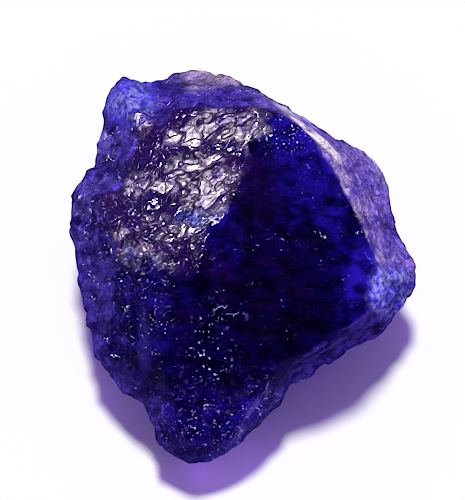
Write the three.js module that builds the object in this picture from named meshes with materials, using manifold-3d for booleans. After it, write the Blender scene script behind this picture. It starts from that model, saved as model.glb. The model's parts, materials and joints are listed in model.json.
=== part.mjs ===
// A rough tanzanite, one natural piece: a chunky broken crystal lying on a small flat spot.
// Millimetres, +Z up, -Y the side a viewer stands at. The origin is under the middle of the
// stone, at the surface it lies on.
//
// The stone is worked out lying flat, from a core inside it: u across, v up the broad face, w out
// of it. Its outline is bevelled over and under the rim, broken back by flat fracture faces,
// scored by furrows, and roughened by the grain each face broke with. Then it leans back into
// place and is cut flat where it rests.

import * as THREE from "three";
import { ImprovedNoise } from "three/addons/math/ImprovedNoise.js";
import { mergeVertices } from "three/addons/utils/BufferGeometryUtils.js";
import Module from "manifold-3d";

// ---- driving dimensions ----

const LEAN = 26; // how far the broad face leans toward -Y, degrees
const REST_BELOW_CORE = 6.6; // height of the core above the resting spot
const EDGE_ROUND = 0.12; // how soft an edge between two breaks is
const BELLY = 0.3; // how far a fracture face swells or dips from dead flat
const DETAIL = 19; // 20 * (DETAIL + 1)^2 triangles

// The outline as seen square on to the broad face, anticlockwise, [u, v].
const OUTLINE = [
  // right corner
  [11.3, -1.2],
  [10.6, -2.4],
  [9.6, -3.5],
  [8.3, -4.8],
  // straight lower right edge, to the notch beside the toe
  [5.8, -6.3],
  [3.4, -7.6],
  [2.9, -8.5],
  // toe
  [1.8, -9.6],
  [0.0, -11.2],
  [-1.4, -12.2],
  [-3.0, -12.7],
  [-4.3, -12.2],
  [-5.4, -11.1],
  // lower left, stepped
  [-6.0, -9.6],
  [-6.9, -8.7],
  [-8.0, -7.7],
  [-9.3, -5.5],
  [-9.9, -3.5],
  [-10.3, -1.0],
  // left bulge and the nick above it
  [-10.8, 2.2],
  [-10.9, 4.0],
  [-10.3, 5.3],
  [-9.5, 6.1],
  [-9.2, 7.5],
  // knob
  [-8.8, 9.0],
  [-8.7, 10.6],
  [-7.8, 12.0],
  [-7.2, 12.2],
  [-6.1, 11.5],
  // back edge
  [-5.8, 11.6],
  [-4.5, 12.2],
  [-2.6, 12.4],
  [-1.0, 12.0],
  // long upper right edge
  [0.6, 11.2],
  [3.2, 9.7],
  [5.8, 7.9],
  [7.4, 7.3],
  // right flank
  [8.2, 6.8],
  [9.2, 5.6],
  [9.6, 3.5],
  [10.1, 1.6],
  [10.9, 0.2],
];

// The rim round the outline: bearing from +u, height w of the rim, and how steeply the stone
// falls away from it over and under, degrees from flat.
const RIM = [
  { bearing: -92, height: 2.4, over: 50, under: 58 },
  { bearing: -68, height: 1.4, over: 56, under: 64 },
  { bearing: -45, height: -0.3, over: 73, under: 66 },
  { bearing: -22, height: -0.6, over: 70, under: 64 },
  { bearing: -4, height: -0.9, over: 60, under: 62 },
  { bearing: 14, height: -1.4, over: 64, under: 66 },
  { bearing: 38, height: -1.7, over: 66, under: 62 },
  { bearing: 56, height: 0.4, over: 79, under: 58 },
  { bearing: 76, height: -0.4, over: 78, under: 54 },
  { bearing: 104, height: -3.4, over: 69, under: 50 },
  { bearing: 122, height: -2.6, over: 66, under: 52 },
  { bearing: 147, height: -1.8, over: 60, under: 60 },
  { bearing: 185, height: -0.7, over: 60, under: 66 },
  { bearing: 232, height: 1.2, over: 55, under: 62 },
  { bearing: 248, height: 2.2, over: 50, under: 58 },
];

// Fracture faces: the way each one faces in [u, v, w], its distance from the core, and its grain.
const FACES = [
  { name: "hackly plateau", facing: [-0.1, 0.3, 0.95], reach: 7.0, grain: "hackly" },
  { name: "dark face, upper", facing: [0.35, 0.09, 0.93], reach: 5.55, grain: "smooth" },
  { name: "dark face, lower", facing: [0.2, -0.3, 0.93], reach: 6.05, grain: "smooth" },
  { name: "lower left face", facing: [-0.56, -0.2, 0.8], reach: 8.4, grain: "wavy" },
  { name: "left shoulder", facing: [-0.62, 0.22, 0.75], reach: 8.6, grain: "hackly" },
  { name: "right keel", facing: [0.35, -0.5, -0.79], reach: 7.0, grain: "wavy" },
  { name: "left keel", facing: [-0.35, -0.5, -0.79], reach: 7.35, grain: "wavy" },
  { name: "back keel", facing: [0.05, -0.09, -0.99], reach: 7.45, grain: "hackly" },
  { name: "front keel", facing: [0, -0.76, -0.65], reach: 8.3, grain: "smooth" },
];

// Furrows scored in the upper side, [u, v] end to end, with their half width and depth.
const FURROWS = [
  { name: "right of the knob", path: [[-5.8, 12.2], [-5.3, 10.2], [-4.8, 8.0]], half: 0.8, depth: 0.7 },
  { name: "under the knob", path: [[-4.8, 8.0], [-7.0, 7.2], [-9.6, 6.2]], half: 0.8, depth: 0.5 },
  { name: "right of the toe", path: [[3.4, -7.9], [1.4, -7.9], [-0.6, -8.9]], half: 0.7, depth: 0.4 },
  { name: "left of the toe", path: [[-7.2, -8.8], [-5.6, -9.2]], half: 0.7, depth: 0.4 },
];

// How rough each grain is: the size of its lumps and how far they stand up.
const GRAINS = {
  hackly: { lump: 2.0, height: 0.34, stretch: 1.0 },
  wavy: { lump: 2.6, height: 0.22, stretch: 1.6 },
  smooth: { lump: 3.2, height: 0.12, stretch: 1.0 },
  striated: { lump: 1.6, height: 0.22, stretch: 4.0 },
};

// ---- the stone's surface, as a distance that is 0 on it ----

const rad = THREE.MathUtils.degToRad;
const noise = new ImprovedNoise();

const faces = FACES.map((f, i) => ({
  normal: new THREE.Vector3(...f.facing).normalize(),
  reach: f.reach,
  grain: f.grain,
  seed: 5.3 * i,
}));

// Distance from (u, v) to the line from a to b.
function toLine(u, v, a, b) {
  const du = b[0] - a[0];
  const dv = b[1] - a[1];
  const along = ((u - a[0]) * du + (v - a[1]) * dv) / (du * du + dv * dv);
  const t = THREE.MathUtils.clamp(along, 0, 1);
  return Math.hypot(u - a[0] - t * du, v - a[1] - t * dv);
}

// Distance outside the outline, negative inside it.
function outside(u, v) {
  let nearest = Infinity;
  let inside = false;
  for (let i = 0, j = OUTLINE.length - 1; i < OUTLINE.length; j = i++) {
    const a = OUTLINE[i];
    const b = OUTLINE[j];
    nearest = Math.min(nearest, toLine(u, v, a, b));
    const crosses = a[1] > v !== b[1] > v;
    if (crosses && u < ((b[0] - a[0]) * (v - a[1])) / (b[1] - a[1]) + a[0]) inside = !inside;
  }
  return inside ? -nearest : nearest;
}

// The rim's height and slopes at a bearing, eased between the ones given.
function rimAt(bearing) {
  const first = RIM[0].bearing;
  const turn = THREE.MathUtils.euclideanModulo(bearing - first, 360) + first;
  let i = RIM.length - 1;
  while (RIM[i].bearing > turn) i--;
  const a = RIM[i];
  const b = RIM[(i + 1) % RIM.length];
  const end = i + 1 < RIM.length ? b.bearing : b.bearing + 360;
  const t = THREE.MathUtils.smoothstep(turn, a.bearing, end);
  const ease = (key) => THREE.MathUtils.lerp(a[key], b[key], t);
  return { height: ease("height"), over: rad(ease("over")), under: rad(ease("under")) };
}

// Long slow waves, -1 to 1, different for every face.
function swell(p, seed) {
  return 1.6 * noise.noise(p.x / 5.5 + seed, p.y / 5.5 + seed, p.z / 5.5);
}

// How far a point is outside every break: both bevels of the rim, then each fracture face.
function breaks(p) {
  const edge = outside(p.x, p.y);
  const rim = rimAt(THREE.MathUtils.radToDeg(Math.atan2(p.y, p.x)));
  const above = p.z - rim.height;
  return [
    edge * Math.sin(rim.over) + above * Math.cos(rim.over),
    edge * Math.sin(rim.under) - above * Math.cos(rim.under),
    ...faces.map((f) => f.normal.dot(p) - f.reach - BELLY * swell(p, f.seed)),
  ];
}

function stone(p) {
  const all = breaks(p);
  const most = Math.max(...all);
  const sum = all.reduce((s, d) => s + Math.exp((d - most) / EDGE_ROUND), 0);
  return most + EDGE_ROUND * Math.log(sum);
}

function normalAt(p) {
  const h = 0.02;
  const slope = (x, y, z) =>
    stone(new THREE.Vector3(p.x + x, p.y + y, p.z + z)) -
    stone(new THREE.Vector3(p.x - x, p.y - y, p.z - z));
  return new THREE.Vector3(slope(h, 0, 0), slope(0, h, 0), slope(0, 0, h)).normalize();
}

// Where a ray from the core leaves the stone.
function reachAlong(direction) {
  const p = new THREE.Vector3();
  let inner = 0;
  let outer = 0.5;
  while (stone(p.copy(direction).multiplyScalar(outer)) < 0) {
    inner = outer;
    outer += 0.5;
  }
  for (let i = 0; i < 18; i++) {
    const middle = (inner + outer) / 2;
    if (stone(p.copy(direction).multiplyScalar(middle)) < 0) inner = middle;
    else outer = middle;
  }
  return new THREE.Vector3().copy(direction).multiplyScalar(inner);
}

// ---- the grain of the breaks ----

// Sharp crests with scooped hollows between them, evening out at 0.
function crests(p, size) {
  return 0.8 - 2.4 * Math.abs(noise.noise(p.x / size, p.y / size, p.z / size));
}

function grainHeight(p, { lump, height, stretch }) {
  const q = new THREE.Vector3(p.x, p.y / stretch, p.z);
  const warp = noise.noise(q.y / 4, q.z / 4, q.x / 4);
  q.addScalar(0.8 * warp);
  return height * (0.7 * crests(q, lump) + 0.5 * crests(q.addScalar(17), lump * 0.55));
}

// The upper bevel is striated on the right flank, smooth at the back and hackly on the left.
function bevelGrain(p) {
  const bearing = THREE.MathUtils.radToDeg(Math.atan2(p.y, p.x));
  if (bearing > 2 && bearing < 70) return "striated";
  if (bearing > 84 && bearing < 130) return "smooth";
  if (bearing > 130 && bearing < 185) return "hackly";
  return "wavy";
}

function relief(p) {
  const grains = [bevelGrain(p), "wavy", ...faces.map((f) => f.grain)];
  const all = breaks(p);
  const most = Math.max(...all);
  const shares = all.map((d) => Math.exp((d - most) / 0.45));
  const total = shares.reduce((s, x) => s + x, 0);
  let height = 0;
  shares.forEach((share, i) => {
    if (share > 0.02) height += (share / total) * grainHeight(p, GRAINS[grains[i]]);
  });
  return height - furrowDepth(p);
}

function furrowDepth(p) {
  let depth = 0;
  for (const f of FURROWS) {
    for (let i = 1; i < f.path.length && p.z > 0; i++) {
      const d = toLine(p.x, p.y, f.path[i - 1], f.path[i]);
      depth = Math.max(depth, f.depth * Math.max(0, 1 - d / f.half));
    }
  }
  return depth;
}

// ---- the mesh ----

// A ball of even triangles whose points are carried out to the stone's surface.
const ball = new THREE.IcosahedronGeometry(1, DETAIL);
ball.deleteAttribute("normal");
ball.deleteAttribute("uv");
const skin = mergeVertices(ball, 1e-5);
const count = skin.attributes.position.count;
const points = [];
for (let i = 0; i < count; i++) {
  const direction = new THREE.Vector3().fromBufferAttribute(skin.attributes.position, i);
  points.push(reachAlong(direction.normalize()));
}
const normals = points.map(normalAt);
const beside = points.map(() => new Set());
for (let i = 0; i < skin.index.count; i += 3) {
  const corner = [0, 1, 2].map((k) => skin.index.getX(i + k));
  corner.forEach((a) => corner.forEach((b) => a !== b && beside[a].add(b)));
}

// A point near an edge slides onto it: it moves to where its own plane and its neighbours' meet.
function ontoEdge(i) {
  const near = [...beside[i]];
  const bent = near.some((j) => normals[i].dot(normals[j]) < 0.94);
  if (!bent) return points[i].clone();
  const p = points[i].clone();
  for (let step = 0; step < 40; step++) {
    const push = new THREE.Vector3();
    for (const j of [i, ...near]) {
      const off = normals[j].dot(p) - normals[j].dot(points[j]);
      push.addScaledVector(normals[j], -off / (near.length + 1));
    }
    p.add(push.multiplyScalar(0.9));
  }
  const moved = p.clone().sub(points[i]);
  return points[i].clone().add(moved.clampLength(0, 0.32));
}

const settled = points.map((p, i) => ontoEdge(i));
settled.forEach((p, i) => {
  const rough = relief(points[i]);
  p.addScaledVector(normals[i], rough);
  skin.attributes.position.setXYZ(i, p.x, p.y, p.z);
});
skin.rotateX(rad(LEAN));

// ---- cut flat where it rests, and stood on the origin ----

const wasm = await Module();
wasm.setup();

function solid(geometry) {
  const bare = geometry.clone();
  for (const name of Object.keys(bare.attributes)) {
    if (name !== "position") bare.deleteAttribute(name);
  }
  const merged = mergeVertices(bare, 1e-5);
  return new wasm.Manifold(
    new wasm.Mesh({
      numProp: 3,
      vertProperties: merged.attributes.position.array,
      triVerts: new Uint32Array(merged.index.array),
    }),
  );
}

const below = new THREE.BoxGeometry(60, 60, 20);
below.translate(0, 0, -REST_BELOW_CORE - 10);
const cut = solid(skin).subtract(solid(below)).getMesh();

const body = new THREE.BufferGeometry();
body.setAttribute("position", new THREE.BufferAttribute(new Float32Array(cut.vertProperties), 3));
body.setIndex(new THREE.BufferAttribute(new Uint32Array(cut.triVerts), 1));
body.computeBoundingBox();
const middle = body.boundingBox.getCenter(new THREE.Vector3());
body.translate(-middle.x, -middle.y, -body.boundingBox.min.z);
body.computeVertexNormals();

const violetBlue = new THREE.MeshStandardMaterial({
  color: 0x2a1a8c,
  roughness: 0.25,
  metalness: 0,
});
const tanzanite = new THREE.Mesh(body, violetBlue);
tanzanite.name = "tanzanite";

const group = new THREE.Group();
group.name = "rough_tanzanite";
group.add(tanzanite);

export default group;
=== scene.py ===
# %% [markdown]
# # A rough tanzanite
# One natural piece of violet-blue crystal, as it was broken out of the rock: a crinkled top, two
# dark glassy breaks, a pale wrinkled flank and a jagged rim. The packed model holds its true
# shape and size. This lesson gives it the look: a finer skin with the small breaks in it, a clear
# crystal that swallows light as it gets thicker, hazy veils near the surface, and a softly lit
# white table.

# %% Load the packed model
import json
import math

import bpy
import numpy as np
from mathutils import Euler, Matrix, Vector

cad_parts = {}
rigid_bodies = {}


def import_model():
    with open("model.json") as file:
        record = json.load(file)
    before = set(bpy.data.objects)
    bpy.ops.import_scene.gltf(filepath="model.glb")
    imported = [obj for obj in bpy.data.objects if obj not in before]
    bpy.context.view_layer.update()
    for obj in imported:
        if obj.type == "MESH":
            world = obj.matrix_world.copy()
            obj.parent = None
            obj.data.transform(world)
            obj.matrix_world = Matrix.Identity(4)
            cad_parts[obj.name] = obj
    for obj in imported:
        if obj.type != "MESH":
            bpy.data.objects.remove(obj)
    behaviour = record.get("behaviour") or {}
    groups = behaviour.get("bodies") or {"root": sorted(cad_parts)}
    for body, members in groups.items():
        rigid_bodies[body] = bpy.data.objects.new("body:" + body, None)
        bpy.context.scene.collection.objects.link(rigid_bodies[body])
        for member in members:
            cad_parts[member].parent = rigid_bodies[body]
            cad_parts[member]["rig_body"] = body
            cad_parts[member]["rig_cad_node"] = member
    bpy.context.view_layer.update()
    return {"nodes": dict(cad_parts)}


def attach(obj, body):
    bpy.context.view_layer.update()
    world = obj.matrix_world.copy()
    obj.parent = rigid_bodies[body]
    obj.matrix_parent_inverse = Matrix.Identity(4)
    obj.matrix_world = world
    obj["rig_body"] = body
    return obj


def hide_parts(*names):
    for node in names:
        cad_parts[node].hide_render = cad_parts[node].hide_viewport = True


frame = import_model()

# %% [markdown]
# ## The stone's own directions
# A stone has no front or top, so it is easiest to talk about it as it lies flat on a bench: u
# across, v up its broad face and w out of it, in millimetres from a core inside it. On the table
# it leans back by 26 degrees. Both ways of writing a place are needed: one to set the camera,
# the other to say which break a point of the skin belongs to.

# %% Plan directions
MM = 0.001
LEAN = math.radians(26)
CORE = Vector((-0.13, -0.13, 6.6)) * MM
TURN = Euler((LEAN, 0, 0)).to_matrix()


def on_table(u, v, w):
    """A plan place in millimetres, as a place on the table in metres."""
    return CORE + TURN @ Vector((u, v, w)) * MM


def facing_on_table(u, v, w):
    """A plan direction as a direction on the table."""
    return (TURN @ Vector((u, v, w))).normalized()


print("the broad face looks to", [round(x, 3) for x in facing_on_table(0, 0, 1)])

# %% [markdown]
# ## Camera
# The broad face is looked at square on, from 64 degrees above the table. A long lens some way off
# keeps the near and far sides of such a small thing in proportion, as a macro lens does.

# %% Camera
FRAME_HIGH_PX = 500
PX_PER_MM = 15.78
LENS = 250
SENSOR = 36
AIM = (-0.55, 0.83, 0.0)

away = FRAME_HIGH_PX / PX_PER_MM * LENS / SENSOR
bpy.ops.object.select_all(action="DESELECT")
bpy.ops.object.camera_add(location=on_table(AIM[0], AIM[1], away))
camera = bpy.context.active_object
camera.name = "camera"
camera.rotation_euler = facing_on_table(0, 0, 1).to_track_quat("Z", "Y").to_euler()
camera.data.lens = LENS
camera.data.sensor_width = SENSOR
camera.data.clip_start = 0.005
camera.data.clip_end = 20
bpy.context.scene.camera = camera
print("camera", round(away, 1), "mm from the core, elevation", 90 - math.degrees(LEAN))

# %% [markdown]
# ## Sums on wires
# Blender's patterns are nodes joined by links, and a sum such as 1 - mask takes a Math node of
# its own. This small class holds one output socket and lets Python write that sum: every + - * /
# adds the node it needs. The same class serves materials and Geometry Nodes, because both know
# these nodes. Any other node comes from node(), which is given its type, its settings and what
# its sockets hold, either a number or another wire.

# %% The wire class


class Wire:
    """One output socket, and the sums and nodes that can follow it."""

    def __init__(self, tree, socket=None):
        self.tree = tree
        self.socket = socket

    def node(self, kind, settings=None, inputs=None, out=0):
        """A new node, linked to what it is given, as the wire that leaves its output out."""
        made = self.tree.nodes.new(kind)
        for name, value in (settings or {}).items():
            setattr(made, name, value)
        for name, value in (inputs or {}).items():
            if isinstance(value, Wire):
                self.tree.links.new(value.socket, made.inputs[name])
            else:
                made.inputs[name].default_value = value
        return Wire(self.tree, made.outputs[out] if made.outputs else None)

    def other(self, name):
        """Another output of the same node."""
        return Wire(self.tree, self.socket.node.outputs[name])

    def sum(self, operation, *values):
        """A Math node, or a Vector Math node where one of the values is a place or a colour."""
        kinds = [v.socket.type if isinstance(v, Wire) else type(v).__name__ for v in values]
        if not {"VECTOR", "RGBA", "tuple"} & set(kinds):
            return self.node("ShaderNodeMath", {"operation": operation}, dict(enumerate(values)))
        spread = [(v, v, v) if isinstance(v, (int, float)) else v for v in values]
        return self.node("ShaderNodeVectorMath", {"operation": operation}, dict(enumerate(spread)))

    def __add__(self, other):
        return self.sum("ADD", self, other)

    def __radd__(self, other):
        return self.sum("ADD", other, self)

    def __sub__(self, other):
        return self.sum("SUBTRACT", self, other)

    def __rsub__(self, other):
        return self.sum("SUBTRACT", other, self)

    def __mul__(self, other):
        return self.sum("MULTIPLY", self, other)

    def __rmul__(self, other):
        return self.sum("MULTIPLY", other, self)

    def __truediv__(self, other):
        return self.sum("DIVIDE", self, other)

    def larger(self, other):
        return self.sum("MAXIMUM", self, other)

    def size(self):
        return self.sum("ABSOLUTE", self)

    def floor(self):
        return self.sum("FLOOR", self)

    def dot(self, direction):
        both = {0: self, 1: direction}
        return self.node("ShaderNodeVectorMath", {"operation": "DOT_PRODUCT"}, both, "Value")

    def length(self):
        return self.node("ShaderNodeVectorMath", {"operation": "LENGTH"}, {0: self}, "Value")

    def rise(self, low, high):
        """0 below low and 1 above high, with a smooth step between."""
        settings = {"interpolation_type": "SMOOTHSTEP"}
        inputs = {"Value": self, "From Min": low, "From Max": high}
        return self.node("ShaderNodeMapRange", settings, inputs)

    def mixed(self, first, second):
        """first where this is 0 and second where it is 1, for colours."""
        inputs = {0: self, 6: first, 7: second}
        return self.node("ShaderNodeMix", {"data_type": "RGBA"}, inputs, 2)


print("a wire knows", ", ".join(name for name in vars(Wire) if name[0] != "_"))

# %% [markdown]
# ## Patterns
# A few patterns do all the work, at different sizes. Noise gives slow, cloudy change. When the
# places it is read at are pushed about by other noise, it is drawn out into wisps. Cells cut
# space into random lumps; when each lump tips its own way the surface looks broken, as crystal
# does where it has no clean cleavage.

# %% Patterns


def placed(p, size, seed=0.0):
    """The place p, with one pattern step for every size millimetres."""
    return p * (1 / size) + (seed, 1.7 * seed, -seed)


def noise(p, size, detail=2.0, seed=0.0, rough=0.5):
    """Slow change, mostly between 0.3 and 0.7."""
    inputs = {"Vector": placed(p, size, seed), "Scale": 1.0, "Detail": detail, "Roughness": rough}
    return p.node("ShaderNodeTexNoise", None, inputs)


def pushed(p, size, far, seed=0.0):
    """p pushed about by noise, by as much as far millimetres."""
    drift = noise(p, size, 2.0, seed).other("Color")
    return p + (drift - (0.5, 0.5, 0.5)) * (2 * far)


def stretched(p, angle, along):
    """p turned in the plan by angle, and drawn out along that way."""
    settings = {"rotation_type": "Z_AXIS"}
    inputs = {"Vector": p, "Angle": -math.radians(angle)}
    return p.node("ShaderNodeVectorRotate", settings, inputs) * (1 / along, 1.0, 1.0)


def cells(p, size, seed=0.0, feature="F1"):
    """Random lumps: how far p is from the middle of the one it lies in."""
    inputs = {"Vector": placed(p, size, seed), "Scale": 1.0}
    return p.node("ShaderNodeTexVoronoi", {"feature": feature}, inputs)


def tipped(p, size, tilt, step, seed=0.0, round_off=0.25):
    """Lumps that each tip their own way, by tilt, and stand step apart in height."""
    lump = cells(p, size, seed, "SMOOTH_F1" if round_off else "F1")
    if round_off:
        lump.socket.node.inputs["Smoothness"].default_value = round_off
    colour = lump.other("Color")
    lean = colour - (0.5, 0.5, 0.5)
    offset = placed(p, size, seed) - lump.other("Position")
    level = p.node("ShaderNodeSeparateXYZ", None, {0: colour}, "X") - 0.5
    return offset.dot(lean) * (2 * tilt * size) + level * step


def ridged(p, size, detail=2.0, seed=0.0):
    """Sharp crests, 1 on the crest and falling to 0 in the hollows."""
    return 1 - (noise(p, size, detail, seed) * 2 - 1).size() * 2.5


print("patterns: noise, pushed, stretched, cells, tipped, ridged")

# %% [markdown]
# ## The zones of the skin
# Each break of the stone is close to a flat plane, and a point of the skin belongs to the plane
# that it lies furthest out against. The same planes as in the packed model are written here, so
# the fine work starts and stops where its breaks do. Where a point is well inside all of them it
# is on the rim. Each zone is a mask between 0 and 1 with a ragged border.

# %% Planes and places
BREAKS = {
    "plateau": ((-0.1, 0.3, 0.95), 7.0),
    "dark_upper": ((0.35, 0.09, 0.93), 5.55),
    "dark_lower": ((0.2, -0.3, 0.93), 6.05),
    "lower_left": ((-0.56, -0.2, 0.8), 8.4),
    "shoulder": ((-0.62, 0.22, 0.75), 8.6),
}
FLANK = ((0.797, 0.353, 0.490), 8.30)


def plan(position):
    """A place on the table in metres, as a plan place in millimetres."""
    from_core = (position - tuple(CORE)) * (1 / MM)
    settings = {"rotation_type": "X_AXIS"}
    return position.node("ShaderNodeVectorRotate", settings, {"Vector": from_core, "Angle": -LEAN})


def beyond(p, facing, reach):
    """How far a point stands out past a plane, in millimetres."""
    return p.dot(tuple(Vector(facing).normalized())) - reach


def near(p, centre, radii, soft=0.5):
    """1 in the middle of an egg-shaped place and 0 outside it."""
    apart = (p - centre) * tuple(1 / r for r in radii)
    return 1 - apart.length().rise(1 - soft, 1 + soft)


print("breaks", ", ".join(BREAKS), "and the flank")

# %% Zones


def zones(p, facing_out):
    """How much a point belongs to each zone, 0 to 1, from its plan place and how it faces."""
    # How far out the point lies against each plane, and how much it faces up out of the plan.
    out = {name: beyond(p, *plane) for name, plane in BREAKS.items()}
    out["lower_left"] = out["lower_left"] - p.dot((1.0, 0.0, 0.0)).rise(-3.5, -1.0) * 2
    worn = (noise(p, 1.1, 3.0, 21.0) - 0.5) * 0.8
    upper = (facing_out + worn).rise(-0.15, 0.4)
    dark = out["dark_upper"].larger(out["dark_lower"])
    rough = out["plateau"].larger(out["shoulder"])
    face = dark.larger(rough).larger(out["lower_left"])

    # Borders wander by this much. Inside the rim the point lies out against one of the planes.
    ragged = (noise(p, 2.2, 4.0, 12.0, 0.65) - 0.5) * 2.6
    inner = (face + ragged * 0.7).rise(-1.1, -0.6)
    rim = (1 - inner) * upper

    # Places that stand apart, drawn in the plan.
    swung = pushed(p, 1.3, 0.5, 3.0)
    knob = near(swung, (-7.1, 10.3, 0.0), (1.9, 2.0, 90.0), 0.25)
    neck = near(swung, (-6.2, 8.9, 0.0), (1.0, 1.1, 90.0), 0.3)
    corner = near(swung, (9.5, -1.9, 0.0), (1.6, 1.7, 90.0), 0.25)
    smooth_top = near(swung, (-3.4, 10.6, 0.0), (2.2, 1.0, 90.0), 0.3)

    # The flank and the rim above it share the same wrinkles.
    up_and_down = p.dot((0.0, 1.0, 0.0)) + ragged
    on_flank = (beyond(p, *FLANK) + ragged * 0.08).rise(-0.25, -0.02) * up_and_down.rise(-2.8, -1.0)
    top_edge = rim * (p.dot((1.0, 0.0, 0.0)) + ragged).rise(-0.5, 2.5) * up_and_down.rise(5.0, 7.5)
    striae = on_flank.larger(top_edge)

    # What is left is crinkled or glassy, by the plane that the point lies furthest out against.
    plain = inner * (1 - striae) * (1 - corner) * (1 - smooth_top)
    hackle = (rough - dark.larger(out["lower_left"]) + ragged).rise(-0.3, 0.3) * plain
    glassy = (dark - rough.larger(out["lower_left"]) - ragged).rise(-0.3, 0.3) * plain
    return {
        "hackle": hackle.larger(neck) * upper,
        "dark": glassy * upper,
        "rim": rim,
        "upper": upper,
        "striae": striae,
        "knob": knob * upper,
        "corner": corner * upper,
        "face": face,
    }


def strands(p, face):
    """Places on the flank, measured across the wrinkles that follow its ridge, and along them."""
    drift = noise(p, 1.6, 2.0, 31.0) * 0.9
    along = p.dot((-0.6, 0.8, 0.0)) * 0.30
    return p.node("ShaderNodeCombineXYZ", None, {"X": face * 1.5 + drift, "Y": along, "Z": 0.0})


print("the flank lies", FLANK[1], "mm from the core")

# %% [markdown]
# ## A finer skin
# The packed solid has a few thousand flat triangles. A copy of it drops the two labels that tie
# it to the packed model, is merged at its seams, and is rounded by one level of Subdivision
# Surface. Then everything that faces up is split again, and the crinkled top once more, so that
# the small breaks have enough points to be made of, and the plain places stay light.

# %% Copy the solid
bpy.ops.object.select_all(action="DESELECT")
solid = frame["nodes"]["tanzanite"]
solid.select_set(True)
bpy.context.view_layer.objects.active = solid
bpy.ops.object.duplicate()
stone = bpy.context.active_object
bpy.ops.object.parent_clear(type="CLEAR_KEEP_TRANSFORM")
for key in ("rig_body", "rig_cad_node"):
    del stone[key]
stone.name = "rough_stone"
stone.data.name = "rough_stone"
stone.data.materials.clear()


def triangles(piece):
    """How many triangles the faces of a piece come to."""
    return sum(len(face.vertices) - 2 for face in piece.data.polygons)


print("triangles in the packed solid", triangles(stone))

# %% Merge and round
SEAM = 1e-6


def finish_modifier(piece, kind, name, **settings):
    """Adds a modifier, sets it up and applies it."""
    modifier = piece.modifiers.new(name, kind)
    for key, value in settings.items():
        setattr(modifier, key, value)
    bpy.context.view_layer.objects.active = piece
    bpy.ops.object.modifier_apply(modifier=modifier.name)


bpy.ops.object.mode_set(mode="EDIT")
bpy.ops.mesh.select_all(action="SELECT")
bpy.ops.mesh.remove_doubles(threshold=SEAM)
bpy.ops.object.mode_set(mode="OBJECT")
finish_modifier(stone, "SUBSURF", "rounder", levels=1, render_levels=1)
print("triangles after rounding", triangles(stone))

# %% Refine the rough places
SIDEWAYS = -0.1
WELL_OUT = 0.2
TOP_MARGIN = 0.2
TOP_DEPTH = -0.9


def centres(piece):
    """The middle of every face, in plan millimetres, and how far it faces out of the plan."""
    mesh = piece.data
    middle = np.zeros(3 * len(mesh.polygons))
    facing = np.zeros(3 * len(mesh.polygons))
    mesh.polygons.foreach_get("center", middle)
    mesh.polygons.foreach_get("normal", facing)
    turn = np.array(TURN)
    return (middle.reshape(-1, 3) - np.array(CORE)) / MM @ turn, facing.reshape(-1, 3) @ turn


def refine(piece, chosen):
    """Splits every chosen face in four."""
    bpy.ops.object.mode_set(mode="EDIT")
    bpy.ops.mesh.select_mode(type="FACE")
    bpy.ops.mesh.select_all(action="DESELECT")
    bpy.ops.object.mode_set(mode="OBJECT")
    piece.data.polygons.foreach_set("select", chosen)
    bpy.ops.object.mode_set(mode="EDIT")
    bpy.ops.mesh.subdivide(number_cuts=1, smoothness=0.0)
    bpy.ops.object.mode_set(mode="OBJECT")


def beyond_at(places, name):
    """How far every place stands out past the plane of a break."""
    facing, reach = BREAKS[name]
    return places @ np.array(Vector(facing).normalized()) - reach


places, facings = centres(stone)
refine(stone, facings[:, 2] > SIDEWAYS)
places, facings = centres(stone)
rough = np.maximum(beyond_at(places, "plateau"), beyond_at(places, "shoulder"))
dark = np.maximum(beyond_at(places, "dark_upper"), beyond_at(places, "dark_lower"))
crinkled = (rough > dark - TOP_MARGIN) & (rough > TOP_DEPTH)
refine(stone, crinkled & (facings[:, 2] > WELL_OUT))
print("triangles after refining", triangles(stone))

# %% [markdown]
# ## Flat flakes and ledges of the crinkled top
# Geometry Nodes will push the skin in and out along its own facing. First comes what makes the
# top look split: a list of the flakes that lie flat enough to catch the light, and ledges. The
# ledges come from rounding the height of a point to whole steps, with a short slope between
# two steps, so that the top is laid in many thin flat plates.

# %% Flakes that gleam


def geometry_tree(name):
    """An empty tree with a way in and a way out for the mesh."""
    tree = bpy.data.node_groups.new(name, "GeometryNodeTree")
    for way in ("INPUT", "OUTPUT"):
        tree.interface.new_socket("Geometry", in_out=way, socket_type="NodeSocketGeometry")
    return tree


GLEAMS = (
    ((0.9, 8.3), (1.3, 1.3)),
    ((-1.6, 8.6), (1.5, 1.0)),
    ((-3.4, 7.9), (1.2, 0.7)),
    ((-2.4, 5.7), (2.0, 1.0)),
    ((-6.4, 4.9), (0.9, 0.8)),
    ((-4.8, 4.7), (0.8, 0.5)),
    ((-2.0, 3.9), (1.8, 1.1)),
    ((-5.3, 2.1), (1.0, 0.9)),
    ((-3.3, 2.1), (1.0, 0.6)),
    ((-7.7, 1.7), (0.8, 0.6)),
    ((-6.2, 0.5), (1.4, 1.0)),
    ((-6.1, 9.0), (0.6, 0.9)),
    ((-10.0, 0.2), (0.6, 0.5)),
)


def gleaming(p):
    """1 on the flakes of the top that lie flat enough to catch the light, 0 in the folds."""
    q = pushed(p * (1.0, 1.0, 0.0), 1.0, 0.5, 3.0)
    found = 0.0
    for middle, radii in GLEAMS:
        found = near(q, (*middle, 0.0), (*radii, 9.0), 0.3).larger(found)
    return found


print("flakes that gleam", len(GLEAMS))

# %% Ledges
FLAT = tuple(Vector(BREAKS["plateau"][0]).normalized())
LEDGE = 0.26
GRAIN_TURN = 38
GRAIN_LONG = 1.7


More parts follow.
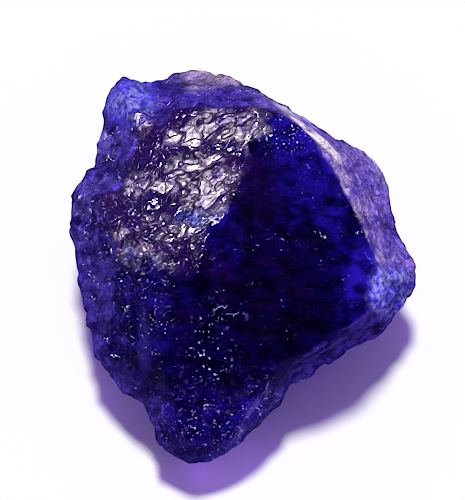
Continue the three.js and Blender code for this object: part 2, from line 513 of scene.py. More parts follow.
def ledge_shift(p):
    """How far a point moves along FLAT to lie on the nearest of many thin flat ledges."""
    q = stretched(p, GRAIN_TURN, GRAIN_LONG)
    level = p.dot(FLAT)
    uneven = (noise(q, 2.2, 1.0, 17.0) - 0.5) * 0.6 + (noise(q, 0.7, 1.0, 3.3) - 0.5) * 0.12
    count = (level + uneven) / LEDGE
    whole = count.floor()
    return (whole + (count - whole).rise(0.38, 0.62)) * LEDGE - level


print("a ledge every", LEDGE, "mm")

# %% [markdown]
# ## Heights of the small breaks
# Every kind of break has a height of its own, in millimetres. The crinkled top has lumps of
# three sizes that tip this way and that, with grooves and crests between them. The right flank
# has fine wrinkles that run with its ridge. Worn chips lie all over, and the dark breaks only
# swell a little.

# %% Height of each kind of break


def hackle_height(p):
    """Crumpled like foil, drawn out from lower left to upper right, with flat flakes in it."""
    q = pushed(stretched(p, GRAIN_TURN, GRAIN_LONG), 1.6, 0.6)
    large = tipped(pushed(p, 2.0, 0.5, 8.0), 2.4, 0.06, 0.04, 0.6)
    flake = tipped(q, 1.15, 0.08, 0.04)
    small = tipped(pushed(q, 0.8, 0.25, 3.1), 0.60, 0.07, 0.02, 5.2, 0.1)
    folds = ridged(pushed(q, 1.2, 0.6, 4.2), 1.15, 0.6, 9.0)
    edge = cells(q, 1.15, 0.0, "DISTANCE_TO_EDGE")
    groove = 1 - edge.rise(0.0, 0.09)
    folded = 1 - gleaming(p)
    return large + (flake + small) * (0.6 + folded * 0.7) + folds * folded * 0.12 - groove * 0.06


def striae_height(p, face):
    """Wrinkles that run with the ridge: quick change away from it, slow change along it."""
    q = strands(p, face)
    return ridged(q, 0.9, 1.0, 2.0) * 0.07 + ridged(q, 0.38, 1.0, 7.7) * 0.035 - 0.06


def chip_height(p):
    """Small worn chips and a few folds, all over."""
    q = pushed(p, 1.2, 0.3, 6.1)
    big = tipped(q, 1.6, 0.16, 0.04, 2.4, 0.4)
    small = tipped(q, 0.65, 0.16, 0.03, 5.4, 0.25)
    folds = ridged(pushed(stretched(p, 75, 2.0), 1.0, 0.4, 3.3), 0.8, 1.0, 1.1)
    return big + small + folds * 0.035 - 0.02


def swell_height(p):
    """The slow waves and faint ripples of a glassy break."""
    slow = noise(p, 2.6, 1.0, 14.0) * 0.16 - 0.08
    ripple = ridged(pushed(stretched(p, 15, 2.4), 1.5, 0.5, 9.3), 1.1, 0.0, 6.6)
    return slow + ripple * 0.012


print("crinkles drawn out", GRAIN_LONG, "times, at", GRAIN_TURN, "degrees")

# %% [markdown]
# ## Break the skin
# Each height counts as far as its zone does. The ledges move a point along the direction the
# top faces, and whatever stands out past the plane of the right flank is cut back to it. Nothing
# moves next to the table. The zones are kept on the mesh as attributes, so that the material can
# read them as well.

# %% Add up the moves
break_tree = geometry_tree("small breaks")
start = Wire(break_tree)
skin = start.node("NodeGroupInput")
position = start.node("GeometryNodeInputPosition")
normal = start.node("GeometryNodeInputNormal")
here = plan(position)
zone = zones(here, normal.dot(tuple(facing_on_table(0, 0, 1))))
chipping = (1 - zone["hackle"]) * (1 - zone["dark"] * 0.9) * (1 - zone["striae"] * 0.6)
height = hackle_height(here) * zone["hackle"] + striae_height(here, zone["face"]) * zone["striae"]
height = height + chip_height(here) * chipping + swell_height(here) * zone["dark"]
laid = ledge_shift(here) * zone["hackle"] * (gleaming(here) * 0.8 + 0.2)
cut = beyond(here, *FLANK).larger(0.0)
moved = normal * height
moved = moved + tuple(facing_on_table(*FLAT)) * laid
moved = moved - tuple(facing_on_table(*FLANK[0])) * cut
off_table = position.dot((0.0, 0.0, 1 / MM)).rise(0.02, 0.6)
moved = moved * (off_table * MM)
print("nodes in", break_tree.name, len(break_tree.nodes))

# %% Store the zones and move the skin
zone["gleam"] = gleaming(here) * zone["hackle"]
for name in sorted(zone):
    skin = start.node(
        "GeometryNodeStoreNamedAttribute",
        {"data_type": "FLOAT", "domain": "POINT"},
        {"Geometry": skin, "Name": name, "Value": zone[name]},
    )
skin = start.node("GeometryNodeSetPosition", None, {"Geometry": skin, "Offset": moved})
start.node("NodeGroupOutput", None, {0: skin})
finish_modifier(stone, "NODES", "breaks", node_group=break_tree)
bpy.ops.object.select_all(action="DESELECT")
stone.select_set(True)
bpy.ops.object.shade_smooth()
print("triangles", triangles(stone), "and zones", ", ".join(sorted(zone)))

# %% [markdown]
# ## Helpers for the crystal
# The stone gets one material. It works in the same plan millimetres as the geometry, and reads
# the zones that were stored on the mesh. These helpers lay a colour over another through a mask,
# and draw what a broken crystal shows: dots, narrow grooves, and lumps that differ in tone.

# %% Start the material
crystal = bpy.data.materials.new("tanzanite crystal")
crystal.use_nodes = True
crystal.node_tree.nodes.clear()
start = Wire(crystal.node_tree)
spot = plan(start.node("ShaderNodeTexCoord", None, None, "Object"))


def zone_of(name):
    """A zone stored on the mesh, 0 to 1."""
    return start.node("ShaderNodeAttribute", {"attribute_name": name}, None, "Fac")


def nodes_so_far():
    """Prints how large the material has grown."""
    print("nodes so far", len(crystal.node_tree.nodes))


hackle = zone_of("hackle")
striae = zone_of("striae")
rim = zone_of("rim")
dark = zone_of("dark")
upper = zone_of("upper")
gleam = zone_of("gleam")
knob = zone_of("knob")
corner = zone_of("corner")
nodes_so_far()

# %% Colours through masks


def between(mask, low, high):
    """The colour low where the mask is 0, and high where it is 1."""
    return mask.mixed((*low, 1), (*high, 1))


def tinted(tint, mask, colour):
    """tint with a colour laid over it, as far as the mask allows."""
    return mask.mixed(tint, (*colour, 1))


print("colour helpers: between, tinted")

# %% Dots, creases and tones


def dots(p, size, radius, seed):
    """Specks of many sizes, most of them too small to see."""
    lump = cells(pushed(p, 0.3, 0.05, seed), size, seed)
    pick = p.node("ShaderNodeSeparateXYZ", None, {0: lump.other("Color")}, "X").rise(0.25, 1.0)
    return 1 - (lump / (pick * (radius / size) + 0.0001)).rise(0.6, 1.1)


def creases(p, size, wide, seed):
    """Narrow wandering grooves, 1 at the bottom of each."""
    return 1 - (noise(p, size, 1.0, seed) - 0.5).size().rise(0.0, wide)


def tone(p, size, seed):
    """Every lump of the skin has a tone of its own, 0 to 1."""
    return p.node("ShaderNodeSeparateXYZ", None, {0: cells(p, size, seed).other("Color")}, "X")


def beside(across, wobble_size, wobble, seed):
    """How far out a point lies in the direction across, made a little unsteady."""
    return spot.dot((*across, 0.0)) + (noise(spot, wobble_size, 2.0, seed) - 0.5) * wobble


print("mark helpers: dots, creases, tone, beside")

# %% [markdown]
# ## Shared patterns
# cloud is the plan with its places pushed about, so that a patch drawn in it has a wandering
# edge. murk is the slow cloudiness inside the crystal. The lumps of chipped are the lumps that
# tip the skin, since they are given the same sizes and seeds, so each chip has its own tone.
# crackle runs over the crinkled top, drawn out the way its flakes are, with its finest creases
# in the flakes alone. wrinkle runs along the flank.

# %% Clouds and chips
cloud = pushed(spot * (1.0, 1.0, 0.35), 2.6, 0.9, 2.0)
wisp = pushed(spot * (1.0, 1.5, 0.35), 1.3, 0.9, 5.0)
murk = noise(wisp, 1.6, 4.0, 3.0, 0.65)
chips = pushed(spot, 1.2, 0.3, 6.1)
chipped = tone(chips, 1.6, 2.4) * 0.5 + tone(chips, 0.65, 5.4) * 0.5


def patch(middle, radii, soft=0.5):
    """1 in the middle of a place in the plan and 0 outside it, with a cloudy edge."""
    return near(cloud, (*middle, 0), (*radii, 9), soft)


nodes_so_far()

# %% Crackle and wrinkles
drawn = pushed(stretched(spot, 38, 1.6), 0.9, 0.35, 7.0)
crackle = creases(drawn, 1.25, 0.06, 6.0).larger(creases(drawn, 0.62, 0.06, 2.0) * 0.9)
crackle = crackle.larger(creases(drawn, 0.33, 0.05, 13.0) * gleam * 0.5)
strand = strands(spot, zone_of("face"))
wrinkle = creases(strand, 0.60, 0.10, 4.0).larger(creases(strand, 0.26, 0.12, 8.0) * 0.6)
nodes_so_far()

# %% [markdown]
# ## Colour of the broad face
# The colour of the haze is laid on in thin layers, as shares of red, green and blue light. Green
# is always the smallest share, for tanzanite swallows it first. Deep blue comes first. Then a
# table gives the patches that differ: the middle is nearly black, the right side and the top are
# bluer. A little wine red is let in where the crystal shows its other colour, and slow swirls
# make all of it lighter and darker.

# %% Patches of the broad face
NIGHT_BLUE = (0.003, 0.0006, 0.07)
DEEP_BLUE = (0.018, 0.005, 0.42)
FACE_PATCHES = {
    "upper blue": ((4.2, 6.8), (3.2, 2.4), 0.5, 0.75, (0.020, 0.008, 0.50)),
    "right side": ((7.0, -1.6), (2.6, 3.0), 0.5, 0.7, (0.010, 0.003, 0.46)),
    "dark middle": ((2.0, -2.4), (5.2, 4.6), 0.45, 0.93, (0.003, 0.0003, 0.05)),
    "dark below": ((-1.8, -5.4), (3.0, 3.4), 0.5, 0.75, (0.004, 0.0006, 0.07)),
    "plum beside the top": ((0.9, 4.4), (1.8, 2.8), 0.5, 0.85, (0.010, 0.001, 0.06)),
    "foot of the flank": ((7.9, -0.6), (1.3, 2.2), 0.5, 0.7, (0.035, 0.014, 0.75)),
    "toe": ((-2.4, -10.0), (3.6, 2.4), 0.5, 0.5, (0.022, 0.004, 0.30)),
}

tint = between(murk.rise(0.35, 0.7), NIGHT_BLUE, DEEP_BLUE)
for middle, radii, soft, strength, colour in FACE_PATCHES.values():
    tint = tinted(tint, patch(middle, radii, soft) * strength, colour)
print("patches laid on the broad face:", ", ".join(FACE_PATCHES))

# %% Wine red and swirls
WINE = (0.030, 0.001, 0.06)

wine = noise(wisp, 1.5, 2.0, 63.0).rise(0.48, 0.66) * patch((-0.4, -1.6), (5.0, 4.0))
tint = tinted(tint, wine * 0.35, WINE)
swirl = pushed(stretched(spot, -12, 1.6), 0.9, 0.4, 55.0)
tint = tint * (0.35 + noise(swirl, 1.0, 3.0, 56.0, 0.6).rise(0.36, 0.62) * 1.15)
nodes_so_far()

# %% [markdown]
# ## Colour of the crinkled top and the rim
# In the folds of the top the haze is dark plum. Its flat flakes, which catch the light, are painted
# lilac and in places nearly white: painted highlights, which also stand for a milky film. The rim
# is thin and lets light through, painted on as violet, with a painted glow where it bulges at
# the left.

# %% Crinkled top
PLUM = (0.052, 0.015, 0.24)
LILAC_FLAKE_HIGHLIGHT = (0.62, 0.43, 1.0)
WHITE_FLAKE_HIGHLIGHT = (1.0, 0.88, 1.0)

tint = tinted(tint, hackle * 0.9, PLUM)
flake = noise(drawn, 0.9, 2.0, 77.0)
# Painted highlights: where the flat flakes catch the light they are painted lilac and nearly white,
# partly a milky film as well.
milky_highlight = gleam * (1 - patch((-5.4, 1.4), (3.0, 2.6)) * 0.55)
tint = tinted(tint, milky_highlight * flake.rise(0.26, 0.40), LILAC_FLAKE_HIGHLIGHT)
tint = tinted(tint, milky_highlight * flake.rise(0.40, 0.52), WHITE_FLAKE_HIGHLIGHT)
nodes_so_far()

# %% Rim
RIM_SHADE = (0.014, 0.004, 0.19)
RIM_LIGHT = (0.17, 0.09, 0.86)
BULGE_LIGHT = (0.28, 0.19, 0.98)

# Painted light: the rim's violet stands partly for light let through its thin edge, and the pale
# bulges at the left are a painted glow.
tint = (rim * 0.8).mixed(tint, between(murk.rise(0.3, 0.7), RIM_SHADE, RIM_LIGHT))
bulge = patch((-9.8, 3.2), (1.3, 2.4)).larger(patch((-8.6, 7.2), (1.0, 1.8)))
tint = tinted(tint, bulge * murk.rise(0.40, 0.60) * rim * 0.6, BULGE_LIGHT)
nodes_so_far()

# %% [markdown]
# ## Colour of the flank
# The right flank is lilac, partly a painted sheen of the pale surroundings mirrored in it at a
# glancing angle. Next to the ridge it is covered with fine pale and dark lines that run with it,
# which come from noise read in the strands' own measure; further out they fade. The same colour,
# pinker and also partly painted sheen, lies on the top edge.

# %% Flank
LILAC_SHADE = (0.15, 0.08, 0.66)
LILAC_LIGHT = (0.38, 0.25, 1.0)
DARK_LINE = (0.07, 0.03, 0.40)
PALE_LINE = (0.80, 0.62, 1.0)
DARK_HAIR = (0.08, 0.035, 0.42)
OUTER_LILAC = (0.55, 0.45, 1.0)
PINKISH = (0.92, 0.68, 1.0)

drop = noise(spot, 1.2, 2.0, 41.0) * 0.6 - zone_of("face")
inner = 1 - drop.rise(0.6, 2.2)
line = noise(strand, 0.42, 3.0, 44.0, 0.7)
hair = noise(strand, 0.22, 1.0, 45.0)
# Partly painted sheen: this lilac stands for the pale surroundings mirrored at a glancing angle and
# for light let through, over the crystal's own colour.
lilac = between(murk.rise(0.3, 0.65), LILAC_SHADE, LILAC_LIGHT)
lilac = tinted(lilac, (1 - line.rise(0.36, 0.46)) * inner, DARK_LINE)
lilac = tinted(lilac, line.rise(0.50, 0.60) * (0.06 + inner * 0.8), PALE_LINE)
lilac = tinted(lilac, hair.rise(0.58, 0.66) * inner * 0.6, DARK_HAIR)
lilac = tinted(lilac, drop.rise(2.6, 3.8) * 0.4, OUTER_LILAC)
lilac = tinted(lilac, patch((-1.9, 11.9), (2.6, 0.9)) * 0.85, PINKISH)
top_edge = patch((-1.6, 12.0), (2.4, 0.9)) * upper * 0.9
tint = striae.larger(top_edge).mixed(tint, lilac * (1 - wrinkle * 0.35))
nodes_so_far()

# %% [markdown]
# ## The knob, the corner and the tone of each lump
# The knob at the upper left and the right-hand corner are painted a clear blue glow, for light let
# through these thin parts, with a frosting of cracks whose pale bits are painted highlights. One
# blue streak crosses the foot of the crinkled top. Then everything is multiplied by the tone of its
# lump, by a fine mottling and by painted shade in the grooves of the crackle.

# %% Knob, corner and blue streak
KNOB_GLOW_BLUE = (0.10, 0.07, 0.95)
CORNER_GLOW_BLUE = (0.10, 0.06, 1.0)
FROST_HIGHLIGHT = (0.44, 0.46, 1.0)
AZURE = (0.08, 0.17, 0.90)

# Painted glow and highlights: a clear blue for light let through the thin knob and corner, with
# pale frost bits over them.
tint = tinted(tint, knob * 0.9, KNOB_GLOW_BLUE)
tint = tinted(tint, corner * 0.95, CORNER_GLOW_BLUE)
frost_highlight = noise(pushed(spot, 0.6, 0.3, 4.0), 0.45, 3.0, 26.0, 0.65).rise(0.42, 0.62)
glow = (knob * patch((-7.0, 10.1), (1.3, 1.4))).larger(corner)
tint = tinted(tint, glow * frost_highlight * 0.9, FROST_HIGHLIGHT)
azure = patch((-2.2, 2.85), (2.0, 0.6)) * hackle
tint = tinted(tint, azure * 0.85, AZURE)
nodes_so_far()

# %% Tones
TONE_SPREAD = 1.3
CRACKLE_SHADE = 0.9

uneven = (1 - dark * 0.85) * (1 - striae * 0.7) * (1 - gleam * 0.6)
uneven = uneven * (1 - knob.larger(corner) * 0.6)
tint = tint * (1 + (chipped - 0.5) * TONE_SPREAD * uneven)
mottle = noise(pushed(spot, 0.6, 0.2, 3.0), 0.5, 3.0, 51.0, 0.6).rise(0.3, 0.7)
tint = tint * (0.7 + mottle * 0.6)
# Painted shade: the crackle's grooves are darkened on the crinkled top and, less, on the rim.
tint = tint * (1 - crackle * hackle.larger(rim * 0.6) * (1 - knob * 0.6) * CRACKLE_SHADE)
nodes_so_far()

# %% [markdown]
# ## Veins and the ridge
# A few thin blue veins cross the rough places. The ridge between the broad face and the flank,
# where the zone called face passes 0, gets a pale painted highlight, and the flank's own lines
# break it up.

# %% Veins and the ridge
VEIN_BLUE = (0.06, 0.02, 0.75)
RIDGE_HIGHLIGHT = (0.80, 0.66, 1.0)

vein = creases(pushed(spot, 1.0, 0.5, 2.0), 1.1, 0.03, 8.0)
vein = vein * noise(spot, 1.5, 1.0, 9.0).rise(0.45, 0.6)
tint = tinted(tint, vein * (1 - hackle) * (1 - dark) * 0.6, VEIN_BLUE)
# Painted highlight: a pale line along the ridge, broken up by the flank's lines.
ridge = 1 - (zone_of("face") + noise(spot, 1.4, 2.0, 40.0) * 0.3).size().rise(0.02, 0.09)
ridge = ridge * striae.rise(0.1, 0.6) * (0.15 + line.rise(0.40, 0.56) * 0.85)
tint = tinted(tint, ridge * 0.7, RIDGE_HIGHLIGHT)
nodes_so_far()

# %% [markdown]
# ## The upper right edge
# slant is measured from the core out across that edge, past from the edge itself, and reach to
# the right. Along the edge runs a nearly white band with dark threads in it, a painted highlight.
# Outside it lies a violet one, with pale threads over it.

# %% Upper right edge
EDGE_SLANT = 9.0
EDGE_VIOLET = (0.20, 0.12, 0.62)
PALE_THREAD = (0.72, 0.58, 1.0)
EDGE_HIGHLIGHT_WHITE = (1.0, 0.88, 1.0)

slant = beside((0.669, 0.743), 1.5, 0.3, 36.0)
past = slant - EDGE_SLANT
reach = spot.dot((1.0, 0.0, 0.0))
band = reach.rise(1.6, 3.0) * (1 - reach.rise(5.9, 6.5)) * upper
along_it = start.node("ShaderNodeCombineXYZ", None, {"X": slant, "Y": reach * 0.16, "Z": 0.0})
threads = noise(along_it, 0.3, 2.0, 47.0)
tint = tinted(tint, band * past.rise(0.10, 0.25) * rim.larger(striae) * 0.7, EDGE_VIOLET)
tint = tinted(tint, band * past.rise(-0.25, -0.05) * threads.rise(0.52, 0.60) * 0.8, PALE_THREAD)
# Painted highlight: the nearly white band along the edge.
bright = band * (1 - past.size().rise(0.14, 0.30))
tint = tinted(tint, bright * (0.45 + threads.rise(0.36, 0.46) * 0.55), EDGE_HIGHLIGHT_WHITE)
nodes_so_far()

# %% [markdown]
# ## The lower right edge and the toe
# The lower right edge has a crumpled bevel, in rucks that run with it. The right side of the
# toe is frosted and scratched. Curled blue cracks, a pale foot and one long soft stripe finish
# the lower left.

# %% Lower right bevel
RUCK_SHADE = (0.006, 0.001, 0.12)
RUCK_LIGHT = (0.13, 0.055, 0.85)

bevel = beside((0.564, -0.826), 0.9, 0.5, 52.0).rise(6.8, 7.1)
bevel = bevel * reach.rise(2.6, 3.6) * (1 - corner)
ruck = noise(pushed(stretched(spot, 34, 1.8), 0.6, 0.3, 53.0), 0.5, 3.0, 54.0, 0.65)
tint = (bevel * 0.85).mixed(tint, between(ruck.rise(0.40, 0.62), RUCK_SHADE, RUCK_LIGHT))
nodes_so_far()

# %% Toe
TOE_FROST = (0.20, 0.12, 0.84)
CURL_BLUE = (0.17, 0.11, 1.0)
FOOT_BLUE = (0.07, 0.045, 0.62)
STRIPE_BLUE = (0.055, 0.035, 0.50)

across_toe = beside((0.835, -0.55), 1.0, 0.6, 57.0) - 6.0
below_notch = 1 - spot.dot((0.0, 1.0, 0.0)).rise(-8.2, -7.2)
frosted = (1 - across_toe.size().rise(0.3, 0.9)) * below_notch
scratch = noise(pushed(stretched(spot, 57, 3.0), 0.5, 0.2, 58.0), 0.35, 3.0, 59.0, 0.65)
tint = tinted(tint, frosted * (0.12 + scratch.rise(0.45, 0.60) * 0.6), TOE_FROST)
curl = creases(pushed(spot, 0.9, 0.6, 12.0), 1.0, 0.02, 18.0)
curl = curl * noise(spot, 0.9, 1.0, 19.0).rise(0.48, 0.6)
toe = patch((-2.4, -10.2), (3.6, 2.6))
folded = toe.larger(patch((-8.2, -5.0), (2.0, 5.0)) * 0.6)
tint = tinted(tint, curl * folded * 0.7, CURL_BLUE)
foot = patch((-2.0, -12.0), (2.6, 0.9)) * murk.rise(0.38, 0.60)
tint = tinted(tint, foot * 0.6, FOOT_BLUE)
stripe = near(pushed(spot, 1.2, 0.15, 37.0), (-6.05, -4.9, 0), (0.30, 2.2, 90), 0.8)
tint = tinted(tint, stripe * 0.75, STRIPE_BLUE)
nodes_so_far()

# %% [markdown]
# ## Specks, beads and small cracks
# Tiny inclusions and nicks show as pale dots and dashes, partly their own colour and partly painted
# glints of the light they catch. Most lie in crowds: beads down the lower middle and on the toe, a
# spatter to the right of the crinkled top, a row across the middle, a few hooked cracks, and nicks
# around the toe. The brightest parts of a mark are nearly white, its edges violet.

# %% Specks and dashes
plain = 1 - hackle
crowd = noise(spot, 2.2, 2.0, 4.0).rise(0.45, 0.65)
beads = patch((-2.0, -5.2), (1.6, 2.4), 0.6).larger(patch((-2.0, -9.0), (3.4, 3.0)))
beads = beads.larger(patch((3.6, 8.0), (2.2, 1.3)))
row = patch((2.2, -1.8), (2.2, 0.4))
speck = dots(spot, 0.42, 0.065, 1.0) * (1 - hackle * 0.7) * crowd.larger(beads * 0.8).larger(row)
speck = speck * (noise(spot, 1.0, 1.0, 14.0).rise(0.42, 0.56) * 0.7 + 0.3)
dust_and_glints = dots(spot, 0.3, 0.05, 5.0) * plain * 0.2
some = noise(spot, 1.1, 2.0, 62.0).rise(0.54, 0.68).larger(beads * 0.8)
fleck = noise(spot, 0.20, 1.0, 61.0).rise(0.70, 0.76) * some * plain
streak = noise(stretched(spot, -4, 4.0), 0.17, 1.0, 71.0).rise(0.66, 0.74) * crowd * plain
streak = streak * noise(spot, 0.9, 1.0, 72.0).rise(0.5, 0.6)
nodes_so_far()

# %% Beads, hooks, spatter and nicks
cluster = patch((-2.0, -5.0), (1.4, 2.6)).larger(patch((-2.4, -10.0), (2.6, 1.8)) * 0.7)
bead = dots(pushed(spot, 0.25, 0.16, 23.0), 0.28, 0.13, 23.0) * cluster
bead = bead * noise(spot, 0.8, 1.0, 24.0).rise(0.34, 0.42)
hook = creases(pushed(spot, 0.7, 0.5, 28.0), 0.9, 0.05, 29.0)
hook = hook * noise(spot, 0.5, 1.0, 30.0).rise(0.52, 0.58)
hook = hook * patch((-0.6, -3.2), (1.4, 0.9), 0.4).larger(patch((0.6, -8.6), (2.0, 1.6)) * 0.5)
spatter = noise(pushed(spot, 0.3, 0.1, 5.0), 0.16, 1.0, 81.0).rise(0.62, 0.70)
spatter = spatter * patch((2.8, 8.1), (1.5, 1.3), 0.4) * (1 - hackle * 0.6)
nick = creases(pushed(spot, 0.4, 0.35, 33.0), 0.6, 0.06, 34.0)
nick = nick * noise(spot, 0.35, 1.0, 35.0).rise(0.57, 0.63)
nick = nick * toe.larger(patch((1.4, -9.0), (1.8, 2.2))).larger(folded * 0.9)
nodes_so_far()

# %% Painted glints of the marks
MARK_EDGE = (0.25, 0.19, 1.0)
MARK_MIDDLE = (0.68, 0.62, 1.0)

# Partly painted glints: the marks are pale inclusions and nicks, and their nearly white middles
# stand for light they catch.
light = speck.larger(spatter).larger(dust_and_glints).larger(bead).larger(nick * 0.85)
light = light.larger(fleck * 0.8).larger(streak * 0.7).larger(hook * 0.8)
tint = light.mixed(tint, between(light.rise(0.5, 0.9), MARK_EDGE, MARK_MIDDLE))
nodes_so_far()

# %% [markdown]
# ## The veil
# The veil says how much of the haze hides the clear crystal behind it. It is thinnest over the
# dark face, thicker on the flank and the rim, and full where there is a mark.

# %% Veil
THIN_VEIL = 0.45

veil = (THIN_VEIL + striae * 0.3 + rim * 0.2).larger(light).larger(milky_highlight * 0.65)
veil = veil.larger(knob * 0.75).larger(corner * 0.8).larger(top_edge)
veil = veil.larger(bright).larger(azure * 0.7)
nodes_so_far()

# %% [markdown]
# ## Fine relief and polish
# What is finer than the mesh goes into one Bump node: facets under a millimetre, the crackle's
# grooves and the wrinkles. Its height is in millimetres, so its Distance is one millimetre. The
# polish is glassy, with slightly duller clouds, more of them on the crinkled top.

# %% Relief
CRACKLE_DEEP = 0.07
WRINKLE_DEEP = 0.05
GRAIN_HIGH = 0.016

facets = tipped(pushed(spot, 0.5, 0.15, 9.0), 0.8, 0.15, 0.02, 33.0, 0.0)
facets = facets * (0.06 + (1 - dark) * (1 - hackle * 0.8) * 0.94)
grain = (noise(pushed(spot, 0.5, 0.12, 8.0), 0.35, 2.0, 5.5) - 0.5) * GRAIN_HIGH
grooves = crackle * CRACKLE_DEEP * hackle.larger((1 - dark) * 0.7)
relief = grain + facets - grooves - wrinkle * striae * WRINKLE_DEEP
bump = start.node("ShaderNodeBump", None, {"Strength": 1.0, "Distance": MM, "Height": relief})
nodes_so_far()

# %% Polish
duller = noise(spot, 0.8, 2.0, 3.0).rise(0.40, 0.75)
gloss = 0.05 + duller * (0.04 + hackle * 0.12) + gleam * 0.05
nodes_so_far()

# %% [markdown]
# ## Clear crystal, haze and shaded pits
# The crystal itself is a glassy Principled shader with full transmission, and bends light as
# tanzanite does. Over it lies the haze of small cracks, a plain glossy Principled shader with the
# colours made above, mixed in by the veil. The crackle grooves of the crinkled top, and faintly its
# folds, get a dull, dark one: painted shade.

# %% Crystal, haze and pits
TANZANITE_IOR = 1.70
PIT_SHADE_PLUM = (0.026, 0.004, 0.09, 1)

glass = {"Base Color": (1, 1, 1, 1), "Roughness": gloss, "IOR": TANZANITE_IOR, "Normal": bump}
clear = start.node("ShaderNodeBsdfPrincipled", None, {**glass, "Transmission Weight": 1.0})
haze = start.node("ShaderNodeBsdfPrincipled", None, {**glass, "Base Color": tint})
dull = {"Base Color": PIT_SHADE_PLUM, "Roughness": 0.8, "Specular IOR Level": 0.0}
shaded_pit = start.node("ShaderNodeBsdfPrincipled", None, dull)
# Painted shade: a dull dark plum in the crackle's grooves and, faintly, the folds of the crinkled
# top.
shaded_pits = (crackle * 0.95).larger((1 - gleam) * 0.3) * hackle
clouded = start.node("ShaderNodeMixShader", None, {0: shaded_pits, 1: haze, 2: shaded_pit})
body = start.node("ShaderNodeMixShader", None, {0: veil.larger(shaded_pits), 1: clear, 2: clouded})
nodes_so_far()

# %% [markdown]
# ## What the crystal swallows
# Inside the crystal one Volume Absorption shader takes green first, then red, and blue last, so
# thin edges are lilac, a few millimetres are violet-blue and the middle is nearly black. Rays
# from the lamps pass straight through the skin, with a violet loss each time, so that the
# shadow is violet as well.

# %% Absorption and shadow
SWALLOW_COLOUR = (0.42, 0.055, 0.667, 1)
SWALLOW_DENSITY = 740.0
SKIN_SHADOW = (0.38, 0.26, 0.63, 1)

lamp_ray = start.node("ShaderNodeLightPath", None, None, "Is Shadow Ray")
let_through = start.node("ShaderNodeBsdfTransparent", None, {"Color": SKIN_SHADOW})
surface = start.node("ShaderNodeMixShader", None, {0: lamp_ray, 1: body, 2: let_through})
deep = {"Color": SWALLOW_COLOUR, "Density": SWALLOW_DENSITY}
swallow = start.node("ShaderNodeVolumeAbsorption", None, deep)
start.node("ShaderNodeOutputMaterial", None, {"Surface": surface, "Volume": swallow})
nodes_so_far()

# %% [markdown]
# ## Put the crystal on the stone
# The finished stone moves with the root body, stands in for the packed solid, and keeps its
# material slot.

# %% Put the crystal on the stone
stone.data.materials.append(crystal)
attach(stone, "root")
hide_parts("tanzanite")
print("the stone wears", crystal.name)

# %% [markdown]
# ## Table
# A plain white table. In the stone's glassy skin it is mirrored dim and violet, as if the stone
# lay on dark cloth, so that the dark breaks stay dark.

# %% Table
WHITE_PAPER = (0.82, 0.82, 0.83, 1)
DIM_IN_MIRROR = (0.042, 0.026, 0.16, 1)

bpy.ops.object.select_all(action="DESELECT")
bpy.ops.mesh.primitive_plane_add(size=6, location=(0, 0, 0))
table = bpy.context.active_object
table.name = "table"
paper = bpy.data.materials.new("white paper")
paper.use_nodes = True
paper.node_tree.nodes.clear()
start = Wire(paper.node_tree)
matt = {"Base Color": WHITE_PAPER, "Roughness": 0.9, "Specular IOR Level": 0.0}
white = start.node("ShaderNodeBsdfPrincipled", None, matt)
dim = start.node("ShaderNodeBsdfDiffuse", None, {"Color": DIM_IN_MIRROR})
mirrored = start.node("ShaderNodeLightPath", None, None, "Is Glossy Ray")
either = start.node("ShaderNodeMixShader", None, {0: mirrored, 1: white, 2: dim})
start.node("ShaderNodeOutputMaterial", None, {"Surface": either})
table.data.materials.append(paper)
print("table", round(table.dimensions.x), "m wide")

# %% [markdown]
# ## Softboxes
# One far softbox above and behind the stone throws the shadow towards the viewer. The cards are
# only there to be mirrored in the stone: a wide violet one with a brighter one in it for the
# flakes of the top, and small ones that put a few glints on the sides.

# %% Softboxes


def softbox(name, toward, strength, across, colour=(1, 1, 1)):
    """A far round softbox, seen from the stone in the direction toward, across degrees wide."""
    bpy.ops.object.select_all(action="DESELECT")
    bpy.ops.object.light_add(type="SUN", location=Vector(toward).normalized() * 0.3)
    lamp = bpy.context.active_object
    lamp.name = name
    lamp.rotation_euler = Vector(toward).to_track_quat("Z", "Y").to_euler()
    lamp.data.energy = strength
    lamp.data.angle = math.radians(across)
    lamp.data.color = colour
    return lamp


OVERHEAD = (-0.22, 0.19, 0.95)

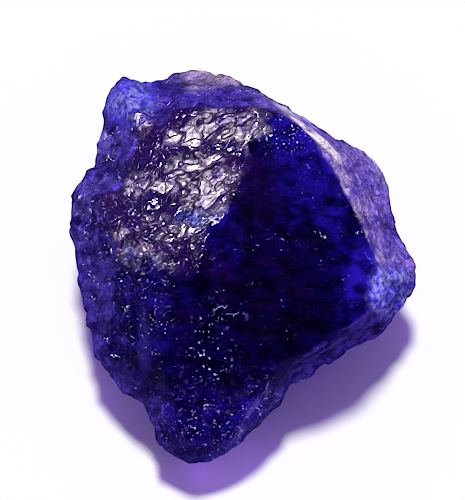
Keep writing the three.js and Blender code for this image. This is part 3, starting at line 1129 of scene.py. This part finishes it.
key = softbox("key softbox", (-0.02, 0.28, 0.96), 3.45, 9)
key.visible_glossy = False
cards = [
    softbox("top card", OVERHEAD, 1.3, 18, (1.0, 0.95, 0.86)),
    softbox("top glow", OVERHEAD, 1.9, 36, (0.66, 0.50, 1.0)),
    softbox("left card", (-0.93, 0.20, 0.30), 0.6, 15, (0.92, 0.88, 1.0)),
    softbox("front left card", (-0.40, -0.60, 0.69), 0.12, 6),
    softbox("front card", (0.15, -0.55, 0.82), 0.08, 5),
    softbox("right card", (0.80, 0.32, 0.50), 0.06, 5),
]
for lamp in cards:
    lamp.visible_diffuse = False
    lamp.visible_transmission = False
print("lit by", key.name, "and mirroring", ", ".join(lamp.name for lamp in cards))

# %% [markdown]
# ## The room
# The backdrop is white where the camera sees it. It lights the matt haze only a little, with a
# violet cast, and it is almost black in the stone's reflections.

# %% Room
BACKDROP = 0.98
FILL = 0.165
IN_MIRROR = 0.004
FILL_HUE = (1.3, 1.0, 1.5, 1)

room = bpy.data.worlds.new("room")
bpy.context.scene.world = room
room.use_nodes = True
room.node_tree.nodes.clear()
start = Wire(room.node_tree)
seen = start.node("ShaderNodeLightPath", None, None, "Is Camera Ray")
diffuse = start.node("ShaderNodeLightPath", None, None, "Is Diffuse Ray")
strength = seen * BACKDROP + diffuse * FILL + IN_MIRROR
hue = diffuse.mixed((1, 1, 1, 1), FILL_HUE)
sky = start.node("ShaderNodeBackground", None, {"Color": hue, "Strength": strength})
start.node("ShaderNodeOutputWorld", None, {0: sky})
print("backdrop", BACKDROP, "and fill", FILL)

# %% [markdown]
# ## Light paths and a little crispness
# A ray may cross the crystal many times, so sixteen bounces are let through it, and the
# brightest stray ones are held down. A macro picture of a stone is sharpened, which picks out
# the small glints. One Sharpen filter, turned well down, does the same to the finished picture.

# %% Light paths
BOUNCES = 16
BRIGHTEST_BOUNCE = 4.0

scene = bpy.context.scene
scene.view_settings.view_transform = "Standard"
scene.cycles.max_bounces = BOUNCES
scene.cycles.transmission_bounces = BOUNCES
scene.cycles.sample_clamp_indirect = BRIGHTEST_BOUNCE
print("bounces", scene.cycles.transmission_bounces)

# %% Sharpen
CRISPNESS = 0.15

scene.use_nodes = True
scene.node_tree.nodes.clear()
start = Wire(scene.node_tree)
picture = start.node("CompositorNodeRLayers")
kind = {"filter_type": "SHARPEN_DIAMOND"}
crisp = start.node("CompositorNodeFilter", kind, {"Fac": CRISPNESS, "Image": picture})
start.node("CompositorNodeComposite", None, {"Image": crisp})
print("sharpened by", CRISPNESS)

# %% [markdown]
